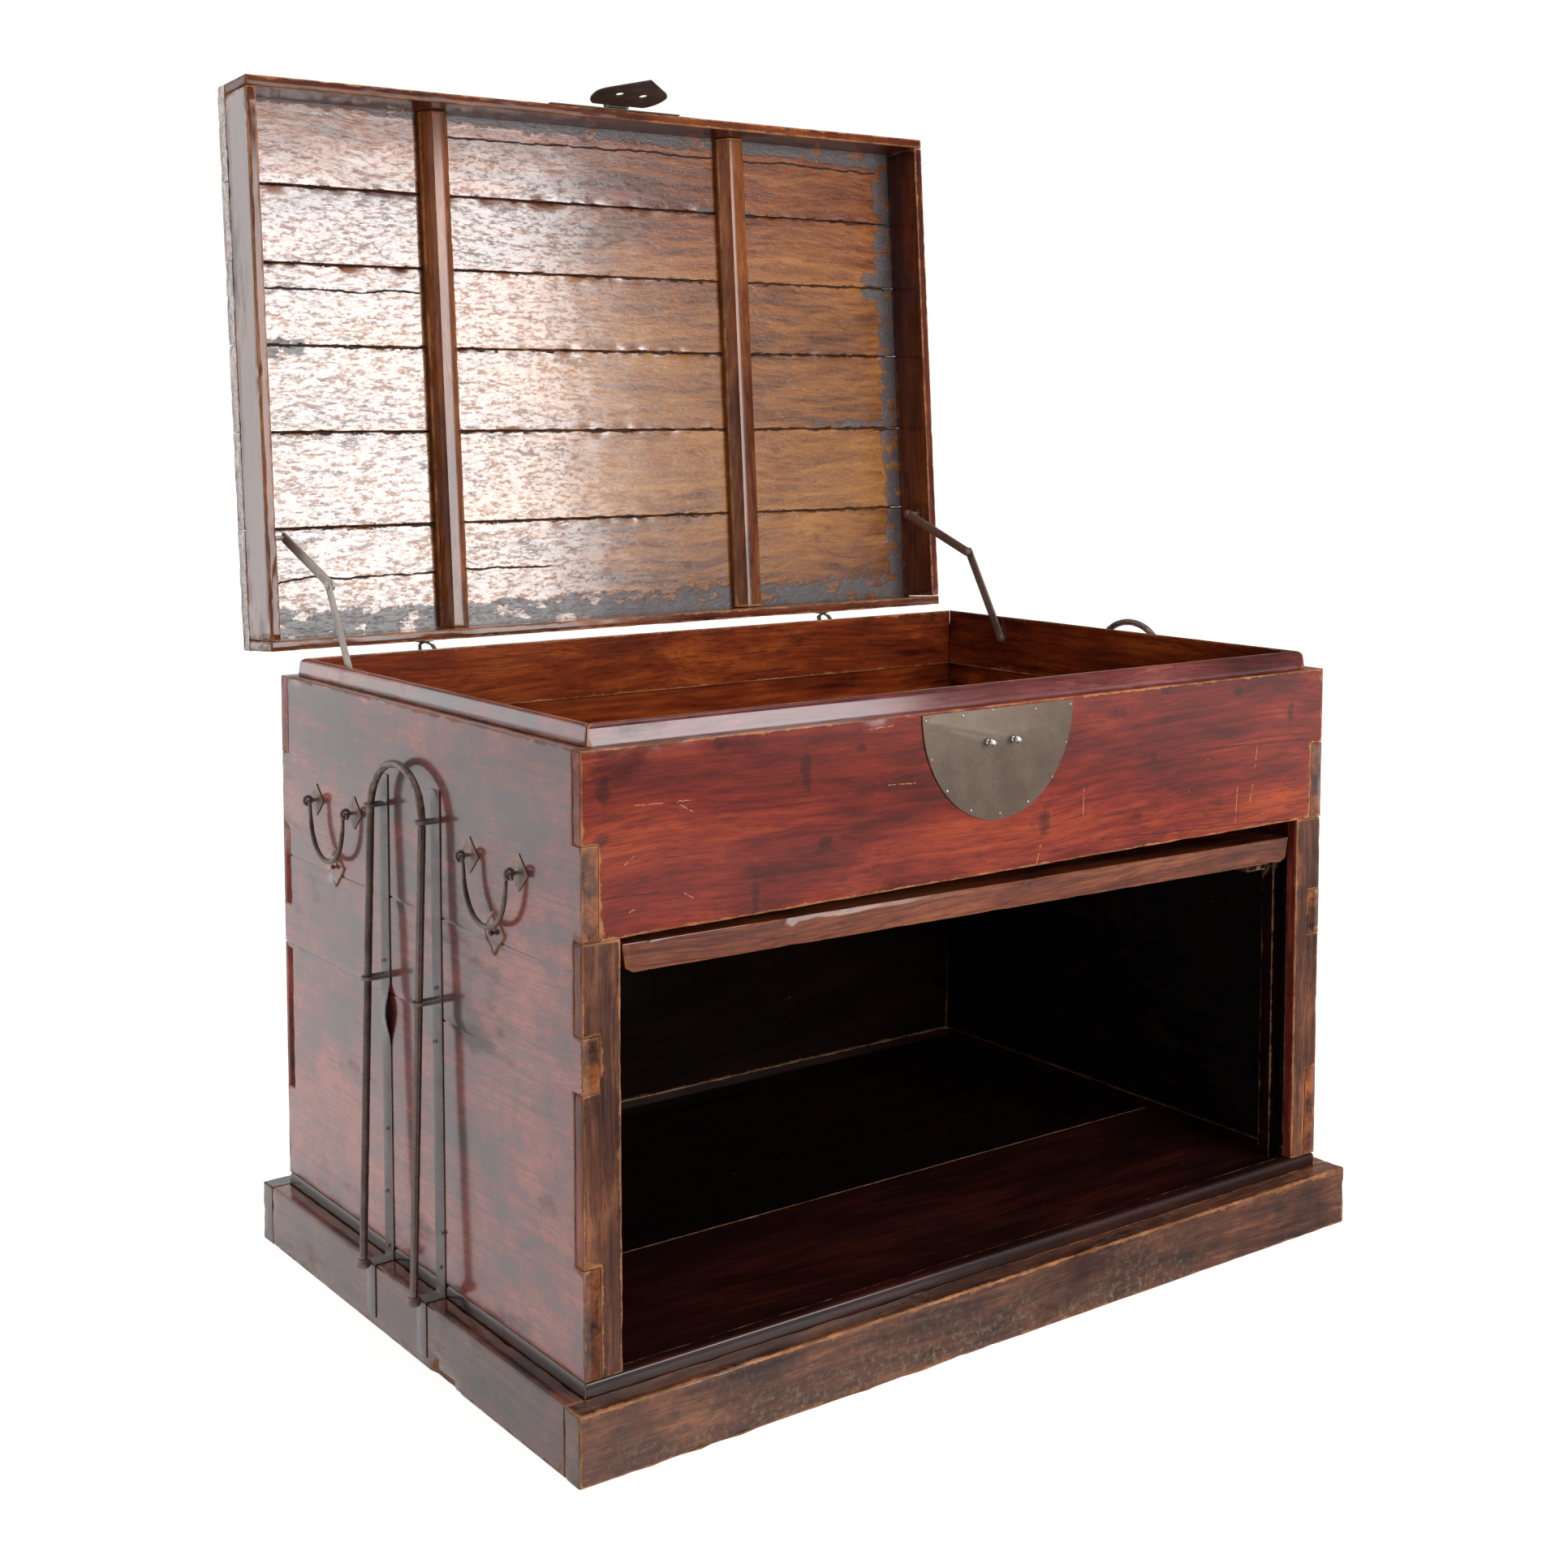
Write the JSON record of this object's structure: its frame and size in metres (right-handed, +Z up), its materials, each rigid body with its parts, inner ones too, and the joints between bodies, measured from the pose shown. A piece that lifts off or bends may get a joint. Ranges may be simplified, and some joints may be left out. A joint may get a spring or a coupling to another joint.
{
  "type": "ship chest",
  "caption": "Wooden ship chest with a hinged lid on folding stays, a till, a sliding front door and iron carrying handles.",
  "frame": {"origin": "on the floor, at the middle of the footprint of the whole object with the lid open", "axes": "+X right along the front, +Y to the back, +Z up"},
  "size_m": [1.1812, 0.9256, 1.5017],
  "materials": {
    "lacquer": "worn red-brown lacquer",
    "side_lacquer": "worn red-brown lacquer with a grey sheen",
    "inner_wood": "glossy orange-brown lacquer",
    "dark_wood": "dark worn lacquer",
    "iron": "dark pitted wrought iron",
    "bronze": "dark brown patina",
    "pale_steel": "dull worn steel"
  },
  "bodies": {
    "carcass": {"plinth_front": "dark_wood", "plinth_back": "dark_wood", "plinth_left": "dark_wood", "plinth_right": "dark_wood", "base_frame": "dark_wood", "floor_board_front": "dark_wood", "floor_board_rear": "dark_wood", "side_left": "side_lacquer", "side_right": "side_lacquer", "back_board": "lacquer", "front_board": "lacquer", "stile_left": "lacquer", "stile_right": "lacquer", "coaming_front": "lacquer", "coaming_back": "lacquer", "coaming_left": "lacquer", "coaming_right": "lacquer", "till_floor": "inner_wood", "door_guide_left": "dark_wood", "door_guide_right": "dark_wood", "lock_plate": "bronze", "strap_left_front": "iron", "eye_plate_left_front_a": "iron", "eye_plate_left_front_b": "iron", "strap_left_rear": "iron", "eye_plate_left_rear_a": "iron", "eye_plate_left_rear_b": "iron", "strap_right_front": "iron", "eye_plate_right_front_a": "iron", "eye_plate_right_front_b": "iron", "strap_right_rear": "iron", "eye_plate_right_rear_a": "iron", "eye_plate_right_rear_b": "iron"},
    "lid_body": {"lid_rail_front": "lacquer", "lid_rail_back": "lacquer", "lid_rail_left": "lacquer", "lid_rail_right": "lacquer", "lid_plank_1": "inner_wood", "lid_plank_2": "inner_wood", "lid_plank_3": "inner_wood", "lid_plank_4": "inner_wood", "lid_plank_5": "inner_wood", "lid_plank_6": "inner_wood", "lid_batten_left": "lacquer", "lid_batten_right": "lacquer", "hinge_staple_left": "iron", "hinge_staple_right": "iron", "lid_plate": "bronze"},
    "hasp_body": {"hasp": "bronze"},
    "door_body": {"door": "lacquer"},
    "left_lower_stay": {"stay_lower_left": "pale_steel"},
    "left_upper_stay": {"stay_upper_left": "pale_steel"},
    "right_lower_stay": {"stay_lower_right": "iron"},
    "right_upper_stay": {"stay_upper_right": "iron"},
    "left_pole_handle": {"pole_handle_left": "iron"},
    "left_front_bail": {"bail_left_front": "iron"},
    "left_rear_bail": {"bail_left_rear": "iron"},
    "right_pole_handle": {"pole_handle_right": "iron"},
    "right_front_bail": {"bail_right_front": "iron"},
    "right_rear_bail": {"bail_right_rear": "iron"}
  },
  "joints": [
    {"name": "lid_hinge", "type": "hinge", "parent": "carcass", "child": "lid_body", "pos_m": [0, 0.31716, 0.723], "axis": [1, 0, 0], "range_deg": [0, 94]},
    {"name": "hasp_hinge", "type": "hinge", "parent": "lid_body", "child": "hasp_body", "pos_m": [-0.0055, 0.37182, 1.47612], "axis": [-1, 0, 0], "range_deg": [-11, 150]},
    {"name": "door_slide", "type": "slide", "parent": "carcass", "child": "door_body", "axis": [0, -1, 0], "range_m": [0, 0.4]},
    {"name": "left_lower_stay_pivot", "type": "hinge", "parent": "carcass", "child": "left_lower_stay", "pos_m": [-0.5187, 0.14216, 0.713], "axis": [1, 0, 0], "range_deg": [0, 111.8]},
    {"name": "left_upper_stay_pivot", "type": "hinge", "parent": "lid_body", "child": "left_upper_stay", "pos_m": [-0.5147, 0.35588, 0.8897], "axis": [1, 0, 0], "range_deg": [-108.4, 0]},
    {"name": "right_lower_stay_pivot", "type": "hinge", "parent": "carcass", "child": "right_lower_stay", "pos_m": [0.5187, 0.14216, 0.713], "axis": [1, 0, 0], "range_deg": [0, 111.8]},
    {"name": "right_upper_stay_pivot", "type": "hinge", "parent": "lid_body", "child": "right_upper_stay", "pos_m": [0.5147, 0.35588, 0.8897], "axis": [1, 0, 0], "range_deg": [-108.4, 0]},
    {"name": "left_handle_slide", "type": "slide", "parent": "carcass", "child": "left_pole_handle", "axis": [0.0326, 0, 0.9995], "range_m": [0, 0.315]},
    {"name": "left_front_bail_pivot", "type": "hinge", "parent": "carcass", "child": "left_front_bail", "pos_m": [-0.562, -0.25684, 0.582], "axis": [0, 1, 0], "range_deg": [0, 150]},
    {"name": "left_rear_bail_pivot", "type": "hinge", "parent": "carcass", "child": "left_rear_bail", "pos_m": [-0.562, 0.13515, 0.582], "axis": [0, 1, 0], "range_deg": [0, 150]},
    {"name": "right_handle_slide", "type": "slide", "parent": "carcass", "child": "right_pole_handle", "axis": [-0.0326, 0, 0.9995], "range_m": [-0.092, 0.223]},
    {"name": "right_front_bail_pivot", "type": "hinge", "parent": "carcass", "child": "right_front_bail", "pos_m": [0.562, 0.11515, 0.582], "axis": [0, -1, 0], "range_deg": [0, 150]},
    {"name": "right_rear_bail_pivot", "type": "hinge", "parent": "carcass", "child": "right_rear_bail", "pos_m": [0.562, -0.27685, 0.582], "axis": [0, -1, 0], "range_deg": [0, 150]}
  ],
  "couplings": [
    {"joint": "left_lower_stay_pivot", "follows": "lid_hinge", "ratio": 1.1882},
    {"joint": "left_upper_stay_pivot", "follows": "lid_hinge", "ratio": -1.152},
    {"joint": "right_lower_stay_pivot", "follows": "lid_hinge", "ratio": 1.1882},
    {"joint": "right_upper_stay_pivot", "follows": "lid_hinge", "ratio": -1.152}
  ]
}
